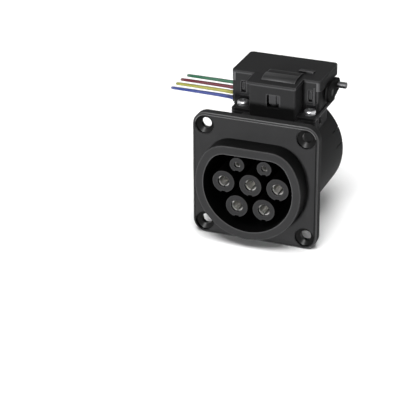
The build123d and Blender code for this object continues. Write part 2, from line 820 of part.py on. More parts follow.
def sector_gear():
    """A toothed sector with a webbed fan, meshing with the bolt's rack."""
    teeth = round(2 * sector_pitch_radius / sector_module)
    tip = sector_pitch_radius + addendum_ratio * sector_module
    root = sector_pitch_radius - dedendum_ratio * sector_module
    half_step = 360.0 / teeth / 2
    first = sector_tooth_centres[0] - half_step
    last = sector_tooth_centres[-1] + half_step
    # Angles are measured up from the direction that points forwards
    outline = [(root * math.cos(math.radians(180 - first)), root * math.sin(math.radians(180 - first)))]
    for centre in sector_tooth_centres:
        corners = tooth_outline(sector_module, teeth, 180 - centre, tip, root)
        outline += list(reversed(corners))
    outline.append((root * math.cos(math.radians(180 - last)), root * math.sin(math.radians(180 - last))))
    outline.append((0.0, 0.0))
    fan = make_face(Polyline(*outline, close=True))
    hub_radius = release_shaft_radius + 2.6
    fan += Circle(hub_radius)
    gear = push_x(Pos(shaft_y, shaft_z) * fan, -sector_width / 2, sector_width / 2)
    # Pockets on both faces leave a web
    middle = math.radians(180 - (first + last) / 2)
    pocket_reach = (root + hub_radius) / 2
    pocket = rod_x((root - hub_radius) / 2 - 1.4, -1, 1, 0, 0)
    centre_y = shaft_y + pocket_reach * math.cos(middle)
    centre_z = shaft_z + pocket_reach * math.sin(middle)
    for x in (-sector_width / 2, sector_width / 2):
        gear -= Pos(x, centre_y, centre_z) * pocket
    gear -= rod_x(release_shaft_radius + running_gap, -sector_width, sector_width, shaft_y, shaft_z)
    return solid_of(gear)


def wheel(left, width, y, bore, first_angle):
    """One of the two large spur gears, with a turned recess in each face."""
    outline = Pos(y, shaft_z) * gear_outline(fine_module, wheel_teeth, first_angle)
    gear = push_x(outline, left, left + width)
    rim = wheel_radius - 1.6
    hub = bore + 1.3
    for x0, x1 in ((left - 1, left + 0.8), (left + width - 0.8, left + width + 1)):
        gear -= rod_x(rim, x0, x1, y, shaft_z) - rod_x(hub, x0 - 1, x1 + 1, y, shaft_z)
    gear -= rod_x(bore + running_gap, left - 1, left + width + 1, y, shaft_z)
    return solid_of(gear)


def output_gear():
    # A tooth points backwards, to the lay pinion
    return wheel(output_gear_left, output_gear_width, shaft_y, release_shaft_radius, 0.0)


def lay_gear():
    # A tooth points forwards, to the motor pinion
    return wheel(lay_gear_left, lay_gear_width, lay_y, lay_shaft_radius, 180.0)


def lay_shaft():
    """The lay shaft with the small pinion cut on it."""
    left = lay_gear_left - 0.8
    right = outer_rib_left + outer_rib_width - 0.2
    shaft = rod_x(lay_shaft_radius, left, right, lay_y, shaft_z)
    half_step = 180.0 / pinion_teeth
    outline = Pos(lay_y, shaft_z) * gear_outline(fine_module, pinion_teeth, 180.0 + half_step)
    pinion = push_x(outline, output_gear_left - lay_pinion_overhang,
                    output_gear_left + output_gear_width + lay_pinion_overhang)
    return solid_of(shaft + pinion)


def drive_motor():
    can = motor_envelope(0.0)
    nose_right = motor_left + motor_length + motor_nose_length
    can += rod_x(motor_nose_radius, motor_left + motor_length - 1, nose_right, shaft_y, shaft_z)
    can += rod_x(motor_nose_radius, motor_left - motor_nose_length, motor_left + 1, shaft_y, shaft_z)
    can -= rod_x(motor_shaft_radius + running_gap, motor_left - motor_nose_length / 2, nose_right + 1,
                 shaft_y, shaft_z)
    return solid_of(can)


def motor_shaft():
    left = motor_left + 0.2
    right = lay_gear_left + lay_gear_width
    return rod_x(motor_shaft_radius, left, right, shaft_y, shaft_z)


def motor_pinion():
    half_step = 180.0 / pinion_teeth
    outline = Pos(shaft_y, shaft_z) * gear_outline(fine_module, pinion_teeth, half_step)
    left = motor_left + motor_length + motor_nose_length + slide_gap
    pinion = push_x(outline, left, lay_gear_left + lay_gear_width)
    return solid_of(pinion - rod_x(motor_shaft_radius + running_gap, left - 1, 0, shaft_y, shaft_z))


def release_lever():
    """The lever outside the tray: collar, hub and an arm to the crank pin."""
    hub = Pos(shaft_y, shaft_z) * Circle(lever_hub_radius)
    end = Pos(lever_end_y, lever_end_z) * Circle(lever_end_radius)
    plan = make_hull([*hub.edges(), *end.edges()])
    collar_right = lever_left + lever_collar_width
    lever = push_x(plan, collar_right, lever_right)
    lever = fillet(lever.faces().sort_by(Axis.X)[-1].edges(), 0.5)
    lever += rod_x(lever_collar_radius, lever_left, collar_right, shaft_y, shaft_z)
    bore = rod_x(release_shaft_radius + running_gap, lever_left - 1, lever_right - 0.35,
                 shaft_y, shaft_z)
    bore -= block(lever_left - 2, lever_right + 1, shaft_y - 3, shaft_y + 3,
                  shaft_z + release_shaft_radius - 0.5 + running_gap,
                  shaft_z + release_shaft_radius + 1)
    lever -= bore
    lever -= rod_x(lever_pin_shank_radius + running_gap, lever_left, lever_right + 1,
                   lever_end_y, lever_end_z)
    return solid_of(lever)


def release_pin():
    pin = rod_x(lever_pin_radius, lever_right, lever_pin_tip, lever_end_y, lever_end_z)
    pin = fillet(pin.faces().sort_by(Axis.X)[-1].edges(), 0.5)
    shank = rod_x(lever_pin_shank_radius, lever_left + lever_collar_width + 0.1, lever_right + 0.5,
                  lever_end_y, lever_end_z)
    return solid_of(pin + shank)


def shaft_seal():
    left = body_right - shaft_seal_width
    ring = rod_x(shaft_seal_radius - seat_gap, left, body_right + 0.1, shaft_y, shaft_z)
    return ring - rod_x(release_shaft_radius + running_gap, left - 1, body_right + 1, shaft_y, shaft_z)


def position_switch():
    top = foot_top + switch_height
    case = block(switch_left, switch_left + switch_width, switch_front,
                 switch_front + switch_length, foot_top, top)
    case = chamfer(case.faces().sort_by(Axis.Z)[-1].edges(), 0.3)
    case += rod_z(button_radius, top - 0.5, top + button_height, cam_left + cam_width / 2, button_y)
    return solid_of(case)


# Leads

def wire_grommet():
    low = wire_heights[-1] - grommet_margin + 0.6 + seat_gap
    high = wire_heights[0] + grommet_margin - seat_gap
    half = grommet_half_width - seat_gap
    plug = block(grommet_left + grommet_flange, grommet_right, wire_y - half, wire_y + half, low, high)
    face = block(grommet_left, body_left, wire_y - half - 0.4, wire_y + half + 0.4, low - 0.4, high + 0.4)
    face = fillet(face.faces().sort_by(Axis.X)[0].edges(), 0.35)
    return solid_of(plug + face)


# Points of each lead's way: out of the grommet, round behind itself, down behind the barrel, to its coil
wire_routes = {
    "green": [(-28.3, 42.0, 40.0), (-36.5, 42.0, 40.1), (-61.2, 42.0, 40.0), (-61.2, 74.0, 26.2),
              (-19.8, 74.0, 25.6), (-20.1, 74.0, -19.9), (-19.8, 74.0, -31.675),
              (-24.0, 74.0, -35.875), (-32.0, 74.0, -35.875)],
    "dark_red": [(-28.3, 42.0, 36.9), (-36.5, 42.0, 37.0), (-65.6, 42.0, 36.9), (-65.6, 74.0, 23.0),
                 (-21.7, 74.0, 22.4), (-22.0, 74.0, -18.0), (-21.7, 74.0, -30.225),
                 (-25.5, 74.0, -34.025), (-32.0, 74.0, -34.025)],
    "yellow": [(-28.3, 42.0, 33.9), (-36.5, 42.0, 34.0), (-68.8, 42.0, 33.9), (-68.8, 74.0, 19.9),
               (-23.6, 74.0, 19.3), (-23.9, 74.0, -16.2), (-23.6, 74.0, -28.775),
               (-27.0, 74.0, -32.175), (-32.0, 74.0, -32.175)],
    "blue": [(-28.3, 42.0, 30.8), (-36.5, 42.0, 30.9), (-72.1, 42.0, 30.8), (-72.1, 74.0, 16.7),
             (-25.5, 74.0, 16.1), (-25.8, 74.0, -14.3), (-25.5, 74.0, -27.325),
             (-28.5, 74.0, -30.325), (-32.0, 74.0, -30.325)],
}


def corner_radii(points):
    """The radius of each inner corner: 0.45 of the shorter run over the tangent of half the turn."""
    radii = []
    for before, here, after in zip(points, points[1:], points[2:]):
        first = Vector(*here) - Vector(*before)
        second = Vector(*after) - Vector(*here)
        half_turn = math.radians(first.get_angle(second)) / 2
        radii.append(0.45 * min(first.length, second.length) / math.tan(half_turn))
    return radii


def lead(name):
    """One lead's tube from the grommet to the coil, with its centre line's length."""
    points = wire_routes[name]
    radii = corner_radii(points)
    path = FilletPolyline(*points, radius=radii)
    start = Plane(origin=points[0], z_dir=Vector(*points[1]) - Vector(*points[0]))
    tube = sweep(start * Circle(wire_radius), path=path)
    section_volume = math.pi * wire_radius ** 2 * path.length
    print(name, "radii", [round(r, 1) for r in radii], "length", round(path.length, 1),
          "volume ratio", round(tube.volume / section_volume, 5))
    return solid_of(tube), path.length


def coil_height(index):
    """The middle of a lead's layer in the stack of coils."""
    return floor_z + tie_thickness + coil_pitch * (index + 0.5)


def coil_inner_radius(length):
    """The radius at which a flat spiral has used up the length."""
    return math.sqrt(coil_outer_radius ** 2 - length * coil_pitch / math.pi)


def lead_coil(index, length):
    """The closed outer shape of one lead's flat coil."""
    inner = coil_inner_radius(length) - wire_radius
    outer = coil_outer_radius + wire_radius
    middle = coil_height(index)
    centre_y = wire_y + coil_outer_radius
    disc = rod_z(outer, middle - coil_pitch / 2, middle + coil_pitch / 2, coil_x, centre_y)
    hole = rod_z(inner, middle - coil_pitch, middle + coil_pitch, coil_x, centre_y)
    return disc - hole


def coil_tie(smallest_inner):
    """The band round the stack of coils, on the side away from the socket."""
    centre_y = wire_y + coil_outer_radius
    top = floor_z + tie_thickness + coil_pitch * len(wire_names)
    outer = coil_outer_radius + wire_radius
    inner_side = coil_x - math.sqrt(smallest_inner ** 2 - (tie_width / 2) ** 2) + seat_gap
    loop = block(coil_x - outer - 2 * tie_thickness, inner_side + tie_thickness,
                 centre_y - tie_width / 2, centre_y + tie_width / 2, floor_z, top + tie_thickness)
    loop -= block(coil_x - outer - tie_thickness / 2, inner_side,
                  centre_y - tie_width, centre_y + tie_width, floor_z + tie_thickness, top)
    return solid_of(loop)


def pieces():
    """Every node's name and shape."""
    made = {
        "front_housing": front_housing(),
        "contact_carrier": contact_carrier(),
        "contact_retainer": contact_retainer(),
        "rear_cap": rear_cap(),
        "bolt_guide": bolt_guide(),
        "lock_bolt": lock_bolt(),
        "bolt_seal": bolt_seal(),
        "actuator_body": actuator_body(),
        "actuator_lid": actuator_lid(),
        "actuator_screws": actuator_screws(),
        "output_shaft": output_shaft(),
        "sector_gear": sector_gear(),
        "output_gear": output_gear(),
        "release_lever": release_lever(),
        "release_pin": release_pin(),
        "shaft_seal": shaft_seal(),
        "lay_gear": lay_gear(),
        "lay_shaft": lay_shaft(),
        "drive_motor": drive_motor(),
        "motor_shaft": motor_shaft(),
        "motor_pinion": motor_pinion(),
        "position_switch": position_switch(),
        "wire_grommet": wire_grommet(),
    }
    for number, (x, z) in enumerate(power_points, start=1):
        made[f"power_tube_{number}"] = contact_tube(power_tube_radius, power_mouth_radius,
                                                    power_sleeve_radius, x, z)
        made[f"power_contact_{number}"] = contact(power_sleeve_radius, power_pin_radius,
                                                  power_crimp_bore, power_slot_width, x, z)
    for number, (x, z) in enumerate(signal_points, start=1):
        made[f"signal_tube_{number}"] = contact_tube(signal_tube_radius, signal_mouth_radius,
                                                     signal_sleeve_radius, x, z)
        made[f"signal_contact_{number}"] = contact(signal_sleeve_radius, signal_pin_radius,
                                                   signal_crimp_bore, signal_slot_width, x, z)
    inner_radii = []
    for index, name in enumerate(wire_names):
        tube, used = lead(name)
        made[f"lead_{name}"] = tube
        put_away = wire_length - used
        made[f"lead_coil_{name}"] = lead_coil(index, put_away)
        inner_radii.append(coil_inner_radius(put_away) - wire_radius)
        print(name, "coil inner radius", round(inner_radii[-1], 2), "put away", round(put_away, 1))
    made["coil_tie"] = coil_tie(min(inner_radii))
    return made


os.makedirs("parts", exist_ok=True)
for node, shape in pieces().items():
    export_step(shape, f"parts/{node}.step")
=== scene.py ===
"""A panel charging socket with its lock actuator and leads, dressed over its fixed frame."""

import logging
import math
from dataclasses import dataclass, field
from enum import Enum

import bmesh
import bpy
from mathutils import Matrix, Vector

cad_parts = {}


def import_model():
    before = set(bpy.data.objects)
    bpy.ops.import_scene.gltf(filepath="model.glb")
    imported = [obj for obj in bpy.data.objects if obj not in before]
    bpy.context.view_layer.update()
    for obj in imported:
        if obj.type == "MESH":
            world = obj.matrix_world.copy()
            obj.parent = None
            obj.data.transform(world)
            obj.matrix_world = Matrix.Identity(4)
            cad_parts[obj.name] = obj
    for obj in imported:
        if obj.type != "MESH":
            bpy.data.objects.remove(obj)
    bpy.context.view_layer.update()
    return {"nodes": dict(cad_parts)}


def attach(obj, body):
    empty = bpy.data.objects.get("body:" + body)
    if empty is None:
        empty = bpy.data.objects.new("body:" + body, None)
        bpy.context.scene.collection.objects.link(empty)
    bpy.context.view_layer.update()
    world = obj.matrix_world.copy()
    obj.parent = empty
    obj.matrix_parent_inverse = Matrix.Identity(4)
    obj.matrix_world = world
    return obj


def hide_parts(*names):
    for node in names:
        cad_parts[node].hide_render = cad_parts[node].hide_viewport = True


MM = 0.001
SOCKET = "socket"
SHARP_ANGLE = math.radians(40.0)
SMOOTH_ANGLE = math.radians(32.0)
STEP_HALF_SIDE = 36.05
STEP_CORNER = 6.75
RECESS_CENTRE = 30.0
RECESS_RADIUS = 5.65
LOG = logging.getLogger("charging_socket")

Colour = tuple[float, float, float]
Point = tuple[float, float, float]
Outline = list[tuple[float, float]]
Limit = tuple[bpy.types.NodeSocket, str, float]

ALONG_X: Point = (1.0, 0.0, 0.0)
ALONG_Y: Point = (0.0, 1.0, 0.0)


class GrainKind(Enum):
    """How a metal's surface was made, which sets its fine texture."""

    PLATED = "plated"
    TURNED = "turned"
    DRAWN = "drawn"


class MixKind(Enum):
    """What a mix node mixes: its data type, its two inputs and its output."""

    COLOUR = ("RGBA", 6, 7, 2)
    VALUE = ("FLOAT", 2, 3, 0)


class NodeSheet:
    """A new material with its principled shader, and short ways to add and join nodes."""

    def __init__(self, name: str) -> None:
        """Start a material whose output is a principled shader.

        Args:
            name: The material's name.
        """
        self.material = bpy.data.materials.new(name)
        self.material.use_nodes = True
        self.tree = self.material.node_tree
        self.shader = self.tree.nodes["Principled BSDF"]

    def add(self, kind: str, **settings: object) -> bpy.types.Node:
        """Add a node and set its plain attributes.

        Args:
            kind: The node's type name.
            **settings: Attributes to set on it.

        Returns:
            The new node.
        """
        node = self.tree.nodes.new(kind)
        for key, value in settings.items():
            setattr(node, key, value)
        return node

    def join(self, source: bpy.types.NodeSocket, target: bpy.types.NodeSocket) -> None:
        """Link two sockets."""
        self.tree.links.new(source, target)

    def object_position(self) -> bpy.types.NodeSocket:
        """Give the socket that carries object coordinates."""
        return self.add("ShaderNodeTexCoord").outputs["Object"]

    def split_position(self) -> bpy.types.Node:
        """Part object coordinates into X, Y and Z.

        Returns:
            The node with the three outputs.
        """
        split = self.add("ShaderNodeSeparateXYZ")
        self.join(self.object_position(), split.inputs["Vector"])
        return split

    def scaled_position(self, scale: Point) -> bpy.types.NodeSocket:
        """Give object coordinates stretched along each axis.

        Args:
            scale: The stretch along X, Y and Z.

        Returns:
            The mapping node's output.
        """
        mapping = self.add("ShaderNodeMapping")
        mapping.inputs["Scale"].default_value = scale
        self.join(self.object_position(), mapping.inputs["Vector"])
        return mapping.outputs["Vector"]

    def noise(self, position: bpy.types.NodeSocket, scale: float, detail: float) -> bpy.types.Node:
        """Add a noise texture.

        Args:
            position: Where it is sampled.
            scale: Features per metre.
            detail: Octaves.

        Returns:
            The noise node.
        """
        node = self.add("ShaderNodeTexNoise")
        node.inputs["Scale"].default_value = scale
        node.inputs["Detail"].default_value = detail
        self.join(position, node.inputs["Vector"])
        return node

    def ramp(self, source: bpy.types.NodeSocket, low: Colour, high: Colour,
             start: float = 0.3, end: float = 0.7) -> bpy.types.NodeSocket:
        """Turn a value into a colour between two ends.

        Args:
            source: The value.
            low: The colour at the start.
            high: The colour at the end.
            start: The value that gives the low colour.
            end: The value that gives the high colour.

        Returns:
            The colour socket.
        """
        node = self.add("ShaderNodeValToRGB")
        node.color_ramp.elements[0].position = start
        node.color_ramp.elements[0].color = (*low, 1.0)
        node.color_ramp.elements[1].position = end
        node.color_ramp.elements[1].color = (*high, 1.0)
        self.join(source, node.inputs["Fac"])
        return node.outputs["Color"]

    def span(self, source: bpy.types.NodeSocket, low: float, high: float) -> bpy.types.NodeSocket:
        """Map a value from 0…1 to another range.

        Args:
            source: The value.
            low: What 0 becomes.
            high: What 1 becomes.

        Returns:
            The mapped value.
        """
        node = self.add("ShaderNodeMapRange")
        node.inputs["To Min"].default_value = low
        node.inputs["To Max"].default_value = high
        self.join(source, node.inputs["Value"])
        return node.outputs["Result"]

    def compare(self, source: bpy.types.NodeSocket, operation: str,
                limit: float) -> bpy.types.NodeSocket:
        """Compare a value with a limit.

        Args:
            source: The value.
            operation: LESS_THAN or GREATER_THAN.
            limit: What it is compared with.

        Returns:
            A socket that is 1 where it holds and 0 elsewhere.
        """
        node = self.add("ShaderNodeMath", operation=operation)
        node.inputs[1].default_value = limit
        self.join(source, node.inputs[0])
        return node.outputs["Value"]

    def limited(self, share: bpy.types.NodeSocket, *limits: Limit) -> bpy.types.NodeSocket:
        """Keep a share only where every limit holds.

        Args:
            share: The share, 0…1.
            *limits: Each a value, LESS_THAN or GREATER_THAN, and what it is compared with.

        Returns:
            The product of the share and the limits.
        """
        for value, operation, limit in limits:
            both = self.add("ShaderNodeMath", operation="MULTIPLY")
            self.join(share, both.inputs[0])
            self.join(self.compare(value, operation, limit), both.inputs[1])
            share = both.outputs["Value"]
        return share

    def reach(self, split: bpy.types.Node, centre: float, square: bool) -> bpy.types.NodeSocket:
        """Give the distance in X and Z from a point and its mirror images.

        Args:
            split: The node with the separate coordinates.
            centre: How far the point is from the axis, along X and along Z.
            square: Whether a place nearer to the axis counts as level with the point.

        Returns:
            The distance in metres.
        """
        flat = self.add("ShaderNodeCombineXYZ")
        for axis in ("X", "Z"):
            size = self.add("ShaderNodeMath", operation="ABSOLUTE")
            self.join(split.outputs[axis], size.inputs[0])
            off = self.add("ShaderNodeMath", operation="SUBTRACT")
            off.inputs[1].default_value = centre
            self.join(size.outputs["Value"], off.inputs[0])
            if square:
                past = self.add("ShaderNodeMath", operation="MAXIMUM")
                past.inputs[1].default_value = 0.0
                self.join(off.outputs["Value"], past.inputs[0])
                off = past
            self.join(off.outputs["Value"], flat.inputs[axis])
        length = self.add("ShaderNodeVectorMath", operation="LENGTH")
        self.join(flat.outputs["Vector"], length.inputs[0])
        return length.outputs["Value"]

    def blend(self, kind: MixKind, share: bpy.types.NodeSocket, outside: bpy.types.NodeSocket,
              inside: float | tuple[float, ...]) -> bpy.types.NodeSocket:
        """Mix a socket with a plain value or colour by a share.

        Args:
            kind: Whether a colour or a value is mixed.
            share: How much of the plain one is taken.
            outside: What is given where the share is 0.
            inside: What is given where it is 1.

        Returns:
            The mixed colour or value.
        """
        data_type, first, second, result = kind.value
        node = self.add("ShaderNodeMix", data_type=data_type)
        node.inputs[second].default_value = inside
        self.join(share, node.inputs[0])
        self.join(outside, node.inputs[first])
        return node.outputs[result]

    def bump(self, height: bpy.types.NodeSocket, depth: float,
             strength: float) -> bpy.types.NodeSocket:
        """Add a bump.

        Args:
            height: The height, 0…1.
            depth: What 1 is in metres.
            strength: The bump's weight.

        Returns:
            The normal socket.
        """
        node = self.add("ShaderNodeBump")
        node.inputs["Strength"].default_value = strength
        node.inputs["Distance"].default_value = depth
        self.join(height, node.inputs["Height"])
        return node.outputs["Normal"]


def shifted(colour: Colour, factor: float) -> Colour:
    """Give a colour lighter or darker by a factor."""
    return (colour[0] * factor, colour[1] * factor, colour[2] * factor)


@dataclass(frozen=True)
class PaintedShadeZone:
    """A stretch of a moulding painted darker as painted shade, round an axis along Y and its mirror images.

    Its sizes are in millimetres.
    """

    colour: Colour
    radius: float
    front: float
    back: float
    top: float
    roughness: float = 0.45
    centre: float = 0.0

    def share(self, sheet: NodeSheet) -> bpy.types.NodeSocket:
        """Give the socket that is 1 in the zone and 0 outside it.

        Args:
            sheet: The material that gets the nodes.

        Returns:
            The product of the zone's limits.
        """
        split = sheet.split_position()
        away = sheet.reach(split, self.centre * MM, square=False)
        inside = sheet.compare(away, "LESS_THAN", self.radius * MM)
        return sheet.limited(
            inside,
            (split.outputs["Y"], "GREATER_THAN", self.front * MM),
            (split.outputs["Y"], "LESS_THAN", self.back * MM),
            (split.outputs["Z"], "LESS_THAN", self.top * MM),
        )


@dataclass(frozen=True)
class PaintedEdgeLine:
    """A fine painted line along the outer edge of the flange or of its step: lighter ones are painted
    highlights, darker ones painted shade.

    Its sizes are in millimetres.
    """

    colour: Colour
    front: float
    back: float
    roughness: float = 0.32
    half_side: float = 37.3
    corner: float = 8.0
    width: float = 0.45
    bottom: float = -40.0

    def share(self, sheet: NodeSheet) -> bpy.types.NodeSocket:
        """Give the socket that is 1 on the line and 0 beside it.

        Args:
            sheet: The material that gets the nodes.

        Returns:
            The product of the line's limits.
        """
        split = sheet.split_position()
        away = sheet.reach(split, (self.half_side - self.corner) * MM, square=True)
        outside = sheet.compare(away, "GREATER_THAN", (self.corner - self.width) * MM)
        return sheet.limited(
            outside,
            (split.outputs["Y"], "GREATER_THAN", self.front * MM),
            (split.outputs["Y"], "LESS_THAN", self.back * MM),
            (split.outputs["Z"], "GREATER_THAN", self.bottom * MM),
        )


@dataclass(frozen=True)
class PlasticFinish:
    """A moulded plastic with a spark-eroded grain, faint flow marks, a painted highlight on its convex
    edges, and zones of painted shade and painted edge lines.
    """

    name: str
    colour: Colour
    roughness: float = 0.68
    roughness_spread: float = 0.04
    grain_size: float = 0.35 * MM
    grain_depth: float = 0.003 * MM
    grain_strength: float = 0.6
    flow_size: float = 18 * MM
    mottling: float = 0.06
    specular: float = 0.06
    # Convex edges: their width, samples, painted colour gain (a painted highlight above 1) and roughness.
    edge_width: float = 0.8 * MM
    edge_samples: int = 8
    painted_edge_gain: float = 5.0
    edge_roughness: float = 0.32
    zones: tuple[PaintedShadeZone | PaintedEdgeLine, ...] = ()

    def make(self) -> bpy.types.Material:
        """Build the material.

        Returns:
            The finished material.
        """
        sheet = NodeSheet(self.name)
        shader = sheet.shader
        position = sheet.object_position()
        flow = sheet.noise(position, 1 / self.flow_size, detail=3.0)
        low = shifted(self.colour, 1 - self.mottling)
        high = shifted(self.colour, 1 + self.mottling)
        tint = sheet.ramp(flow.outputs["Fac"], low, high)
        grain = sheet.noise(position, 1 / self.grain_size, detail=2.0)
        roughness = sheet.span(grain.outputs["Fac"], self.roughness - self.roughness_spread,
                               self.roughness + self.roughness_spread)
        # Convex edges, found by ambient occlusion cast inward, are painted lighter and smoother: a painted
        # highlight.
        edge = sheet.add("ShaderNodeAmbientOcclusion", inside=True, only_local=True,
                         samples=self.edge_samples)
        edge.inputs["Distance"].default_value = self.edge_width
        painted_edge_share = sheet.span(edge.outputs["AO"], 1.0, 0.0)
        painted_edge_colour = shifted(self.colour, self.painted_edge_gain)
        tint = sheet.blend(MixKind.COLOUR, painted_edge_share, tint, (*painted_edge_colour, 1.0))
        roughness = sheet.blend(MixKind.VALUE, painted_edge_share, roughness, self.edge_roughness)
        # Each zone paints shade or an edge highlight over the colour.
        for zone in self.zones:
            share = zone.share(sheet)
            tint = sheet.blend(MixKind.COLOUR, share, tint, (*zone.colour, 1.0))
            roughness = sheet.blend(MixKind.VALUE, share, roughness, zone.roughness)
        sheet.join(tint, shader.inputs["Base Color"])
        sheet.join(roughness, shader.inputs["Roughness"])
        normal = sheet.bump(grain.outputs["Fac"], self.grain_depth, self.grain_strength)
        sheet.join(normal, shader.inputs["Normal"])
        shader.inputs["Specular IOR Level"].default_value = self.specular
        return sheet.material


@dataclass(frozen=True)
class MetalFinish:
    """A bare or plated metal with machining lines."""

    name: str
    colour: Colour
    kind: GrainKind
    roughness: float = 0.25
    smoother: float = 0.06
    rougher: float = 0.08
    line_size: float = 0.12 * MM
    line_depth: float = 0.004 * MM
    line_strength: float = 0.5
    line_stretch: float = 0.04
    dullest: float = 0.93
    along: Point = ALONG_Y

    def make(self) -> bpy.types.Material:
        """Build the material.

        Returns:
            The finished material.
        """
        sheet = NodeSheet(self.name)
        shader = sheet.shader
        shader.inputs["Metallic"].default_value = 1.0
        stretch = {
            GrainKind.PLATED: (1.0, 1.0, 1.0),
            GrainKind.TURNED: tuple(1.0 if a else self.line_stretch for a in self.along),
            GrainKind.DRAWN: tuple(self.line_stretch if a else 1.0 for a in self.along),
        }[self.kind]
        lines = sheet.noise(sheet.scaled_position(stretch), 1 / self.line_size, detail=2.0)
        tint = sheet.ramp(lines.outputs["Fac"], shifted(self.colour, self.dullest), self.colour,
                          start=0.35, end=0.65)
        sheet.join(tint, shader.inputs["Base Color"])
        roughness = sheet.span(lines.outputs["Fac"], self.roughness - self.smoother,
                               self.roughness + self.rougher)
        sheet.join(roughness, shader.inputs["Roughness"])
        normal = sheet.bump(lines.outputs["Fac"], self.line_depth, self.line_strength)
        sheet.join(normal, shader.inputs["Normal"])
        return sheet.material


@dataclass(frozen=True)
class RubberFinish:
    """A soft matt rubber."""

    name: str
    colour: Colour = (0.018, 0.018, 0.018)
    roughness: float = 0.78
    specular: float = 0.3
    speckle_size: float = 0.6 * MM
    speckle_gain: float = 1.35
    speckle_depth: float = 0.01 * MM
    speckle_strength: float = 0.5

    def make(self) -> bpy.types.Material:
        """Build the material.

        Returns:
            The finished material.
        """
        sheet = NodeSheet(self.name)
        shader = sheet.shader
        speckle = sheet.noise(sheet.object_position(), 1 / self.speckle_size, detail=3.0)
        tint = sheet.ramp(speckle.outputs["Fac"], self.colour, shifted(self.colour, self.speckle_gain),
                          start=0.35)
        sheet.join(tint, shader.inputs["Base Color"])
        normal = sheet.bump(speckle.outputs["Fac"], self.speckle_depth, self.speckle_strength)
        sheet.join(normal, shader.inputs["Normal"])
        shader.inputs["Roughness"].default_value = self.roughness
        shader.inputs["Specular IOR Level"].default_value = self.specular
        return sheet.material


@dataclass(frozen=True)
class InsulationFinish:
    """A lead's extruded insulation."""

    name: str
    colour: Colour
    roughness: float = 0.38
    specular: float = 0.3
    flow_size: float = 3.0 * MM
    dullest: float = 0.9
    brightest: float = 1.08
    fine_size: float = 0.25 * MM
    fine_depth: float = 0.004 * MM
    fine_strength: float = 0.4

    def make(self) -> bpy.types.Material:
        """Build the material.

        Returns:
            The finished material.
        """
        sheet = NodeSheet(self.name)
        shader = sheet.shader
        flow = sheet.noise(sheet.object_position(), 1 / self.flow_size, detail=2.0)
        tint = sheet.ramp(flow.outputs["Fac"], shifted(self.colour, self.dullest),
                          shifted(self.colour, self.brightest))
        sheet.join(tint, shader.inputs["Base Color"])
        fine = sheet.noise(sheet.object_position(), 1 / self.fine_size, detail=1.0)
        normal = sheet.bump(fine.outputs["Fac"], self.fine_depth, self.fine_strength)
        sheet.join(normal, shader.inputs["Normal"])
        shader.inputs["Roughness"].default_value = self.roughness
        shader.inputs["Specular IOR Level"].default_value = self.specular
        return sheet.material


def seen_ray(tree: bpy.types.NodeTree) -> bpy.types.NodeSocket:
    """Give the socket that is 1 for camera, glossy and transmission rays.

    Args:
        tree: The node tree that gets the nodes.

    Returns:
        The last node's output.
    """
    rays = tree.nodes.new("ShaderNodeLightPath")
    share = rays.outputs["Is Camera Ray"]
    for kind in ("Is Glossy Ray", "Is Transmission Ray"):
        either = tree.nodes.new("ShaderNodeMath")
        either.operation = "MAXIMUM"
        tree.links.new(share, either.inputs[0])
        tree.links.new(rays.outputs[kind], either.inputs[1])
        share = either.outputs["Value"]
    return share


@dataclass(frozen=True)
class StudioFinish:
    """The pale floor and backdrop, which look white to the camera and keep a shadow."""

    name: str = "studio_paper"
    lift: float = 0.04
    seen_colour: float = 0.92
    bounce_colour: float = 0.15

    def make(self) -> bpy.types.Material:
        """Build the material.

        Returns:
            The finished material.
        """
        material = bpy.data.materials.new(self.name)
        material.use_nodes = True
        tree = material.node_tree
        tree.nodes.clear()
        output = tree.nodes.new("ShaderNodeOutputMaterial")
        seen_paper = tree.nodes.new("ShaderNodeBsdfDiffuse")
        seen_paper.inputs["Color"].default_value = (*[self.seen_colour] * 3, 1.0)
        glow = tree.nodes.new("ShaderNodeEmission")
        glow.inputs["Strength"].default_value = self.lift
        seen = tree.nodes.new("ShaderNodeAddShader")
        tree.links.new(seen_paper.outputs[0], seen.inputs[0])
        tree.links.new(glow.outputs[0], seen.inputs[1])
        paper = tree.nodes.new("ShaderNodeBsdfDiffuse")
        paper.inputs["Color"].default_value = (*[self.bounce_colour] * 3, 1.0)
        mix = tree.nodes.new("ShaderNodeMixShader")
        tree.links.new(seen_ray(tree), mix.inputs["Fac"])
        tree.links.new(paper.outputs[0], mix.inputs[1])
        tree.links.new(seen.outputs[0], mix.inputs[2])
        tree.links.new(mix.outputs[0], output.inputs["Surface"])
        return material


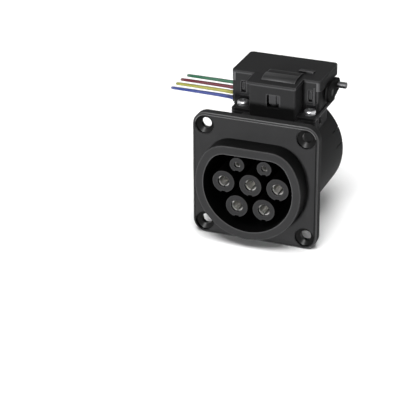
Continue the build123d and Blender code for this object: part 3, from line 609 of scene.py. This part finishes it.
class Palette:
    """Every finish of the object, each made once."""

    HOUSING_BLACK: Colour = (0.048, 0.048, 0.049)
    # Colours of painted shade: on the collar's side and the step's edge, and deep in the well and behind
    # the tube faces.
    SIDE_SHADE: Colour = (0.008, 0.008, 0.008)
    DEEP_SHADE: Colour = (0.002, 0.002, 0.002)

    def __init__(self) -> None:
        """Build the materials."""
        # Painted shade: the barrel's side a little darker and without the painted edge highlight.
        barrel_side_shade = PaintedShadeZone((0.044, 0.044, 0.045), radius=33.5, front=12.0, back=62.0, top=27.0,
                               roughness=0.68)
        # Painted shade: the collar's side nearly black.
        collar_side_shade = PaintedShadeZone(self.SIDE_SHADE, radius=31.4, front=-11.4, back=-0.45, top=40.0)
        # Painted shade: the well's inside nearly black.
        well_painted_shade = PaintedShadeZone(self.DEEP_SHADE, radius=26.6, front=-11.5, back=70.0, top=19.3)
        # Painted shade: the fixing recesses darker, with a smoother surface.
        recess_painted_shade = PaintedShadeZone((0.014, 0.014, 0.014), radius=RECESS_RADIUS, front=0.05, back=5.45,
                                 top=60.0, roughness=0.3, centre=RECESS_CENTRE)
        # Painted highlight: a light line along the flange's front outer edge.
        front_edge_highlight = PaintedEdgeLine((0.13, 0.13, 0.131), front=0.0, back=0.5)
        housing_zones = (barrel_side_shade, collar_side_shade, well_painted_shade, recess_painted_shade, front_edge_highlight)
        self.housing = PlasticFinish("housing_plastic", self.HOUSING_BLACK, zones=housing_zones).make()
        # Painted shade along the step's outer edge and a painted highlight along its top; the step's convex
        # edges painted slightly darker.
        step_shade = PaintedEdgeLine(self.SIDE_SHADE, front=-0.5, back=0.1, half_side=STEP_HALF_SIDE,
                              corner=STEP_CORNER, width=0.35)
        step_edge_highlight = PaintedEdgeLine((0.24, 0.24, 0.242), front=-0.5, back=0.1, half_side=STEP_HALF_SIDE,
                             corner=STEP_CORNER, width=0.3, bottom=31.0)
        self.face = PlasticFinish("face_plastic", self.HOUSING_BLACK, painted_edge_gain=0.6,
                                  zones=(step_shade, step_edge_highlight)).make()
        # Painted shade: the carrier nearly black behind the tube faces; the tube faces' rims get a painted
        # highlight.
        behind_tube_faces_shade = PaintedShadeZone(self.DEEP_SHADE, radius=60.0, front=-6.75, back=100.0, top=60.0)
        self.carrier = PlasticFinish("carrier_plastic", (0.045, 0.045, 0.046), painted_edge_gain=2.0,
                                     zones=(behind_tube_faces_shade,)).make()
        self.actuator = PlasticFinish("actuator_plastic", (0.040, 0.040, 0.041)).make()
        self.blister = PlasticFinish("blister_plastic", (0.042, 0.042, 0.043), roughness=0.45,
                                     specular=0.08).make()
        # Its convex edges painted much lighter: a painted highlight on the lever's rim.
        self.lever = PlasticFinish("lever_plastic", (0.006, 0.006, 0.006), specular=0.02,
                                   painted_edge_gain=14.0).make()
        self.bolt = PlasticFinish("bolt_plastic", (0.085, 0.085, 0.088), roughness=0.5,
                                  painted_edge_gain=1.5).make()
        self.gear = PlasticFinish("gear_acetal", (0.74, 0.72, 0.65), roughness=0.4).make()
        self.nylon = PlasticFinish("tie_nylon", (0.02, 0.02, 0.02), roughness=0.4).make()
        self.rubber = RubberFinish("seal_rubber").make()
        self.contact = MetalFinish("contact_silver", (0.82, 0.81, 0.79), GrainKind.TURNED, 0.33).make()
        self.pin = MetalFinish("blackened_pin", (0.06, 0.06, 0.062), GrainKind.TURNED, 0.35,
                               along=ALONG_X).make()
        self.plated = MetalFinish("zinc_plate", (0.55, 0.55, 0.56), GrainKind.PLATED, 0.36).make()
        self.shaft = MetalFinish("ground_steel", (0.62, 0.62, 0.64), GrainKind.TURNED, 0.22,
                                 along=ALONG_X).make()
        self.can = MetalFinish("drawn_can", (0.6, 0.6, 0.61), GrainKind.DRAWN, 0.3,
                               along=ALONG_X).make()
        self.brass = MetalFinish("pinion_brass", (0.78, 0.6, 0.3), GrainKind.TURNED, 0.25,
                                 along=ALONG_X).make()

    def by_node(self) -> dict[str, bpy.types.Material]:
        """Give each frame node's material.

        Returns:
            Node name to material.
        """
        dressed = {
            "front_housing": self.housing,
            "contact_carrier": self.carrier,
            "contact_retainer": self.carrier,
            "rear_cap": self.housing,
            "bolt_guide": self.actuator,
            "lock_bolt": self.bolt,
            "bolt_seal": self.rubber,
            "actuator_body": self.actuator,
            "actuator_lid": self.actuator,
            "actuator_screws": self.plated,
            "output_shaft": self.shaft,
            "sector_gear": self.gear,
            "output_gear": self.gear,
            "release_lever": self.lever,
            "release_pin": self.pin,
            "shaft_seal": self.rubber,
            "lay_gear": self.gear,
            "lay_shaft": self.shaft,
            "drive_motor": self.can,
            "motor_shaft": self.shaft,
            "motor_pinion": self.brass,
            "position_switch": self.bolt,
            "wire_grommet": self.rubber,
            "coil_tie": self.nylon,
        }
        for number in range(1, 6):
            dressed[f"power_tube_{number}"] = self.carrier
            dressed[f"power_contact_{number}"] = self.contact
        for number in range(1, 3):
            dressed[f"signal_tube_{number}"] = self.carrier
            dressed[f"signal_contact_{number}"] = self.contact
        return dressed


def draw_out(form: bmesh.types.BMesh, faces: list[bmesh.types.BMFace], way: Point) -> None:
    """Draw faces out into a solid.

    Args:
        form: The form that holds them.
        faces: The faces.
        way: How far along each axis, in millimetres.
    """
    drawn = bmesh.ops.extrude_face_region(form, geom=faces)
    moved = [item for item in drawn["geom"] if isinstance(item, bmesh.types.BMVert)]
    bmesh.ops.translate(form, vec=[step * MM for step in way], verts=moved)
    bmesh.ops.recalc_face_normals(form, faces=form.faces)


def rounded_piece(name: str, form: bmesh.types.BMesh, edges: list[bmesh.types.BMEdge], width: float,
                  material: bpy.types.Material) -> bpy.types.Object:
    """Round some edges of a form and make it a piece that rides on the socket.

    Args:
        name: The piece's name.
        form: Its form, already in its place, which is freed.
        edges: The edges that are rounded.
        width: How far the rounding reaches, in millimetres.
        material: Its finish.

    Returns:
        The new object.
    """
    bmesh.ops.bevel(form, geom=edges, offset=width * MM, affect="EDGES", segments=2, profile=0.5,
                    material=-1)
    for face in form.faces:
        face.smooth = True
    for edge in form.edges:
        edge.smooth = edge.calc_face_angle(0.0) < SMOOTH_ANGLE
    mesh = bpy.data.meshes.new(name)
    form.to_mesh(mesh)
    form.free()
    mesh.materials.append(material)
    piece = bpy.data.objects.new(name, mesh)
    bpy.context.scene.collection.objects.link(piece)
    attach(piece, SOCKET)
    LOG.info("%s laid", name)
    return piece


@dataclass
class FlangeFace:
    """The low step of the flange's front face, a little inside its outer edge.

    Its sizes are in millimetres. It reaches into the flange, so that it shades as one solid with it.
    """

    half_side: float = STEP_HALF_SIDE
    corner: float = STEP_CORNER
    height: float = 0.4
    sunk: float = 2.0
    edge_round: float = 0.25
    hole_centre: float = RECESS_CENTRE
    hole_radius: float = RECESS_RADIUS
    collar_radius: float = 29.0
    collar_top: float = 21.7
    corner_steps: int = 12
    hole_steps: int = 48
    collar_steps: int = 96
    level_slack: float = 0.01

    def outline(self) -> Outline:
        """Give the step's rounded square.

        Returns:
            Points (x, z) in millimetres.
        """
        points = []
        middle = self.half_side - self.corner
        for quarter in range(4):
            side_x = middle * (1 if quarter in (0, 3) else -1)
            side_z = middle * (1 if quarter in (0, 1) else -1)
            for step in range(self.corner_steps + 1):
                turn = math.radians(90.0 * (quarter + step / self.corner_steps))
                points.append((side_x + self.corner * math.cos(turn),
                               side_z + self.corner * math.sin(turn)))
        return points

    def openings(self) -> list[Outline]:
        """Give the outlines of the four fixing recesses and of the hole that the collar hides.

        Returns:
            Rings of points (x, z) in millimetres.
        """
        rings = []
        turns = [math.tau * step / self.hole_steps for step in range(self.hole_steps)]
        for side_x in (-self.hole_centre, self.hole_centre):
            for side_z in (-self.hole_centre, self.hole_centre):
                rings.append([(side_x + self.hole_radius * math.cos(turn),
                               side_z + self.hole_radius * math.sin(turn)) for turn in turns])
        start = math.asin(self.collar_top / self.collar_radius)
        sweep = math.tau - (math.pi - 2 * start)
        turns = [math.pi - start + sweep * step / self.collar_steps
                 for step in range(self.collar_steps + 1)]
        rings.append([(self.collar_radius * math.cos(turn), self.collar_radius * math.sin(turn))
                      for turn in turns])
        return rings

    def build(self, material: bpy.types.Material) -> bpy.types.Object:
        """Lay the face on the flange.

        Args:
            material: Its finish.

        Returns:
            The piece.
        """
        form = bmesh.new()
        edges = []
        for ring in (self.outline(), *self.openings()):
            corners = [form.verts.new((x * MM, self.sunk * MM, z * MM)) for x, z in ring]
            edges += [form.edges.new((corners[at - 1], corners[at])) for at in range(len(corners))]
        bmesh.ops.triangle_fill(form, edges=edges, use_beauty=True, use_dissolve=False)
        draw_out(form, list(form.faces), (0.0, -(self.height + self.sunk), 0.0))
        front = -self.height * MM
        sharp = [edge for edge in form.edges if edge.calc_face_angle(0.0) > SHARP_ANGLE
                 and all(abs(vert.co.y - front) < self.level_slack * MM for vert in edge.verts)]
        return rounded_piece("flange_face", form, sharp, self.edge_round, material)


@dataclass
class LidBlister:
    """The front swell of the lid's rounded cover over the sector gear.

    Its sizes are in millimetres.
    """

    left: float = -7.6
    right: float = 12.5
    crest: tuple[float, float] = (38.6, 50.68)
    front: tuple[float, float] = (30.4, 48.95)
    foot: float = 48.3
    steepness: int = 5
    edge_round: float = 0.2
    steps: int = 20

    def side(self) -> Outline:
        """Give the outline seen from the side.

        Returns:
            Points (y, z) in millimetres, from the front foot over the swell to the rear foot.
        """
        reach = self.crest[0] - self.front[0]
        drop = self.crest[1] - self.front[1]
        points = [(self.front[0], self.foot)]
        for step in range(self.steps, -1, -1):
            share = step / self.steps
            points.append((self.crest[0] - reach * share,
                           self.crest[1] - drop * share ** self.steepness))
        points.append((self.crest[0], self.foot))
        return points

    def build(self, material: bpy.types.Material) -> bpy.types.Object:
        """Lay the cover on the lid.

        Args:
            material: Its finish.

        Returns:
            The piece.
        """
        form = bmesh.new()
        ring = [form.verts.new((self.left * MM, y * MM, z * MM)) for y, z in self.side()]
        draw_out(form, [form.faces.new(ring)], (self.right - self.left, 0.0, 0.0))
        sharp = [edge for edge in form.edges if edge.calc_face_angle(0.0) > SHARP_ANGLE]
        return rounded_piece("lid_blister", form, sharp, self.edge_round, material)


@dataclass
class LeadRoute:
    """One lead: its colour, its way from the grommet to its coil, and its layer in the stack."""

    name: str
    colour: Colour
    layer: int
    points: list[Point]


@dataclass
class LeadSet:
    """The actuator's four free leads with their put-away coils.

    Its sizes are in millimetres, and the coil's start is in degrees.
    """

    radius: float = 0.9
    length: float = 500.0
    coil_centre: tuple[float, float] = (-32.0, 58.0)
    coil_radius: float = 16.0
    coil_pitch: float = 1.85
    coil_floor: float = -36.8
    coil_start: float = 90.0
    points_per_turn: int = 20
    spline_order: int = 3
    spline_steps: int = 6
    round_steps: int = 3
    routes: list[LeadRoute] = field(default_factory=lambda: [
        LeadRoute("green", (0.025, 0.15, 0.075), 0, [
            (-28.3, 42.0, 40.0), (-36.5, 42.0, 40.1), (-61.2, 42.0, 40.0),
            (-61.2, 74.0, 26.2), (-19.8, 74.0, 25.6), (-20.1, 74.0, -19.9),
            (-19.8, 74.0, -31.675), (-24.0, 74.0, -35.875), (-32.0, 74.0, -35.875)]),
        LeadRoute("dark_red", (0.17, 0.02, 0.035), 1, [
            (-28.3, 42.0, 36.9), (-36.5, 42.0, 37.0), (-65.6, 42.0, 36.9),
            (-65.6, 74.0, 23.0), (-21.7, 74.0, 22.4), (-22.0, 74.0, -18.0),
            (-21.7, 74.0, -30.225), (-25.5, 74.0, -34.025), (-32.0, 74.0, -34.025)]),
        LeadRoute("yellow", (0.52, 0.5, 0.10), 2, [
            (-28.3, 42.0, 33.9), (-36.5, 42.0, 34.0), (-68.8, 42.0, 33.9),
            (-68.8, 74.0, 19.9), (-23.6, 74.0, 19.3), (-23.9, 74.0, -16.2),
            (-23.6, 74.0, -28.775), (-27.0, 74.0, -32.175), (-32.0, 74.0, -32.175)]),
        LeadRoute("blue", (0.055, 0.085, 0.36), 3, [
            (-28.3, 42.0, 30.8), (-36.5, 42.0, 30.9), (-72.1, 42.0, 30.8),
            (-72.1, 74.0, 16.7), (-25.5, 74.0, 16.1), (-25.8, 74.0, -14.3),
            (-25.5, 74.0, -27.325), (-28.5, 74.0, -30.325), (-32.0, 74.0, -30.325)]),
    ])

    def route_length(self, route: LeadRoute) -> float:
        """Give a lead's length before its coil, as its spline's short cuts leave it.

        Args:
            route: The lead's route.

        Returns:
            The length in millimetres.
        """
        curve = self.spline("measure_" + route.name, self.run_points(route))
        probe = bpy.data.objects.new("measure", curve)
        bpy.context.scene.collection.objects.link(probe)
        bpy.context.view_layer.update()
        line = bpy.data.meshes.new_from_object(probe)
        spots = [vertex.co.copy() for vertex in line.vertices]
        length = sum((b - a).length for a, b in zip(spots, spots[1:]))
        bpy.data.objects.remove(probe)
        bpy.data.curves.remove(curve)
        bpy.data.meshes.remove(line)
        return length / MM

    def run_points(self, route: LeadRoute) -> list[Vector]:
        """Give the control points of the stretch before the coil."""
        return [Vector(point) * MM for point in route.points]

    def coil_points(self, route: LeadRoute, put_away: float) -> list[Vector]:
        """Give the control points of a flat coil that takes up the rest of the lead.

        Args:
            route: The lead's route.
            put_away: The length in the coil, in millimetres.

        Returns:
            The control points after the coil's first.
        """
        inner = math.sqrt(self.coil_radius ** 2 - put_away * self.coil_pitch / math.pi)
        turns = (self.coil_radius - inner) / self.coil_pitch
        height = self.coil_floor + self.coil_pitch * (route.layer + 0.5)
        centre = Vector((*self.coil_centre, height))
        points = []
        steps = round(turns * self.points_per_turn)
        for step in range(1, steps + 1):
            turned = step * turns / steps
            angle = math.radians(self.coil_start) + turned * math.tau
            radius = self.coil_radius - self.coil_pitch * turned
            points.append((centre + Vector((math.cos(angle), math.sin(angle), 0.0)) * radius) * MM)
        return points

    def spline(self, name: str, points: list[Vector]) -> bpy.types.Curve:
        """Make a smooth curve of one open spline.

        Args:
            name: The curve's name.
            points: Its control points.

        Returns:
            The curve, with no thickness yet.
        """
        curve = bpy.data.curves.new(name, "CURVE")
        curve.dimensions = "3D"
        curve.resolution_u = self.spline_steps
        spline = curve.splines.new("NURBS")
        spline.points.add(len(points) - 1)
        for control, point in zip(spline.points, points):
            control.co = (*point, 1.0)
        spline.order_u = self.spline_order
        spline.use_endpoint_u = True
        return curve

    def build(self) -> None:
        for route in self.routes:
            start = self.run_points(route)
            put_away = self.length - self.route_length(route)
            points = start + self.coil_points(route, put_away)
            curve = self.spline("lead_" + route.name + "_line", points)
            curve.bevel_depth = self.radius * MM
            curve.bevel_resolution = self.round_steps
            curve.use_fill_caps = True
            finish = InsulationFinish("insulation_" + route.name, route.colour)
            curve.materials.append(finish.make())
            lead = bpy.data.objects.new("insulated_lead_" + route.name, curve)
            bpy.context.scene.collection.objects.link(lead)
            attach(lead, SOCKET)
            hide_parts("lead_" + route.name, "lead_coil_" + route.name)
            LOG.info("lead %s, %.1f mm put away", route.name, put_away)


@dataclass(frozen=True)
class SunLamp:
    """A far, soft lamp: where it shines from, its spread, and how bright white paper facing it is.

    Its angles are in degrees. One that gives only a glint leaves diffuse light as it is.
    """

    name: str
    azimuth: float
    elevation: float
    spread: float
    level: float
    glint_only: bool = False


@dataclass
class Studio:
    """The camera of the photograph, its soft light and its white surroundings.

    The eye, the sensor and the floor's height are in millimetres, angles in degrees, other sizes in metres.
    """

    eye: Point = (318.57, -867.88, 430.97)
    azimuth: float = 21.92
    elevation: float = 25.721
    roll: float = -0.316
    focal_pixels: float = 1814.687
    frame_pixels: float = 408.0
    sensor: float = 36.0
    nearest: float = 0.05
    farthest: float = 20.0
    floor_z: float = -37.3
    floor_reach: float = 3.0
    even_light: float = 0.08
    key_sun: SunLamp = SunLamp("key_sun", -7.0, 3.0, 8.0, 0.8)
    top_sun: SunLamp = SunLamp("top_sun", -150.0, 78.0, 25.0, 0.1)
    edge_sun: SunLamp = SunLamp("edge_sun", -2.0, 35.0, 12.0, 1.3, glint_only=True)
    crest_sun: SunLamp = SunLamp("crest_sun", -38.0, 60.0, 14.0, 2.6, glint_only=True)
    floor_sun: SunLamp = SunLamp("floor_sun", 12.0, 66.0, 38.0, 1.2)

    @staticmethod
    def toward(azimuth: float, elevation: float) -> Vector:
        """Give the direction out from the object at an azimuth and an elevation.

        Args:
            azimuth: Degrees round from the front, to the right.
            elevation: Degrees up from the floor.

        Returns:
            A vector of length 1.
        """
        turn = math.radians(azimuth)
        rise = math.radians(elevation)
        return Vector((math.sin(turn) * math.cos(rise), -math.cos(turn) * math.cos(rise), math.sin(rise)))

    def set_camera(self) -> None:
        """Place the camera as the photograph's was."""
        data = bpy.data.cameras.new("photo_camera")
        data.sensor_width = self.sensor
        data.lens = self.focal_pixels * self.sensor / self.frame_pixels
        data.clip_start = self.nearest
        data.clip_end = self.farthest
        camera = bpy.data.objects.new("photo_camera", data)
        bpy.context.scene.collection.objects.link(camera)
        ahead = -self.toward(self.azimuth, self.elevation)
        facing = ahead.to_track_quat("-Z", "Y").to_matrix().to_4x4()
        lean = Matrix.Rotation(math.radians(self.roll), 4, "Z")
        camera.matrix_world = Matrix.Translation(Vector(self.eye) * MM) @ facing @ lean
        bpy.context.scene.camera = camera

    def add_sun(self, sun: SunLamp) -> bpy.types.Object:
        """Add a far soft lamp.

        Args:
            sun: Where it shines from and how strongly.

        Returns:
            The lamp.
        """
        data = bpy.data.lights.new(sun.name, "SUN")
        data.angle = math.radians(sun.spread)
        data.energy = sun.level * math.pi
        lamp = bpy.data.objects.new(sun.name, data)
        bpy.context.scene.collection.objects.link(lamp)
        direction = -self.toward(sun.azimuth, sun.elevation)
        lamp.rotation_euler = direction.to_track_quat("-Z", "Y").to_euler()
        lamp.visible_diffuse = not sun.glint_only
        return lamp

    def light_only(self, sun: SunLamp, *pieces: bpy.types.Object) -> None:
        """Add a far soft lamp that lights some pieces and leaves the others as they are.

        Args:
            sun: Where it shines from and how strongly.
            *pieces: What it lights.
        """
        lit = bpy.data.collections.new(sun.name + "_lit")
        for piece in pieces:
            lit.objects.link(piece)
        self.add_sun(sun).light_linking.receiver_collection = lit

    def set_surroundings(self) -> None:
        """Add the floor and the world's even light."""
        sheet = bpy.data.meshes.new("studio_floor")
        form = bmesh.new()
        bmesh.ops.create_grid(form, x_segments=1, y_segments=1, size=self.floor_reach)
        bmesh.ops.translate(form, vec=(0.0, 0.0, self.floor_z * MM), verts=form.verts)
        form.to_mesh(sheet)
        form.free()
        sheet.materials.append(StudioFinish().make())
        floor = bpy.data.objects.new("studio_floor", sheet)
        bpy.context.scene.collection.objects.link(floor)
        self.light_only(self.floor_sun, floor)
        world = bpy.data.worlds.new("studio_world")
        bpy.context.scene.world = world
        world.use_nodes = True
        tree = world.node_tree
        light = tree.nodes["Background"]
        light.inputs["Color"].default_value = (1.0, 1.0, 1.0, 1.0)
        light.inputs["Strength"].default_value = self.even_light
        seen = tree.nodes.new("ShaderNodeBackground")
        seen.inputs["Color"].default_value = (1.0, 1.0, 1.0, 1.0)
        seen.inputs["Strength"].default_value = 1.0
        mix = tree.nodes.new("ShaderNodeMixShader")
        tree.links.new(seen_ray(tree), mix.inputs["Fac"])
        tree.links.new(light.outputs[0], mix.inputs[1])
        tree.links.new(seen.outputs[0], mix.inputs[2])
        tree.links.new(mix.outputs[0], tree.nodes["World Output"].inputs["Surface"])

    def build(self) -> None:
        """Set the whole studio."""
        bpy.context.scene.view_settings.view_transform = "Standard"
        self.set_camera()
        self.set_surroundings()
        for sun in (self.key_sun, self.top_sun, self.edge_sun):
            self.add_sun(sun)
        LOG.info("studio set")


def dress_frame(nodes: dict[str, bpy.types.Object], palette: Palette) -> None:
    """Give each carried-over node its material.

    Args:
        nodes: The frame's nodes by name.
        palette: The finishes.
    """
    for name, material in palette.by_node().items():
        mesh = nodes[name].data
        mesh.materials.clear()
        mesh.materials.append(material)
        LOG.info("dressed %s", name)


def main() -> None:
    """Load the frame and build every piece."""
    logging.basicConfig(level=logging.INFO, format="%(message)s")
    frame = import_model()
    studio = Studio()
    studio.build()
    LeadSet().build()
    palette = Palette()
    dress_frame(frame["nodes"], palette)
    FlangeFace().build(palette.face)
    blister = LidBlister().build(palette.blister)
    studio.light_only(studio.crest_sun, blister, frame["nodes"]["front_housing"])


if __name__ == "__main__":
    main()
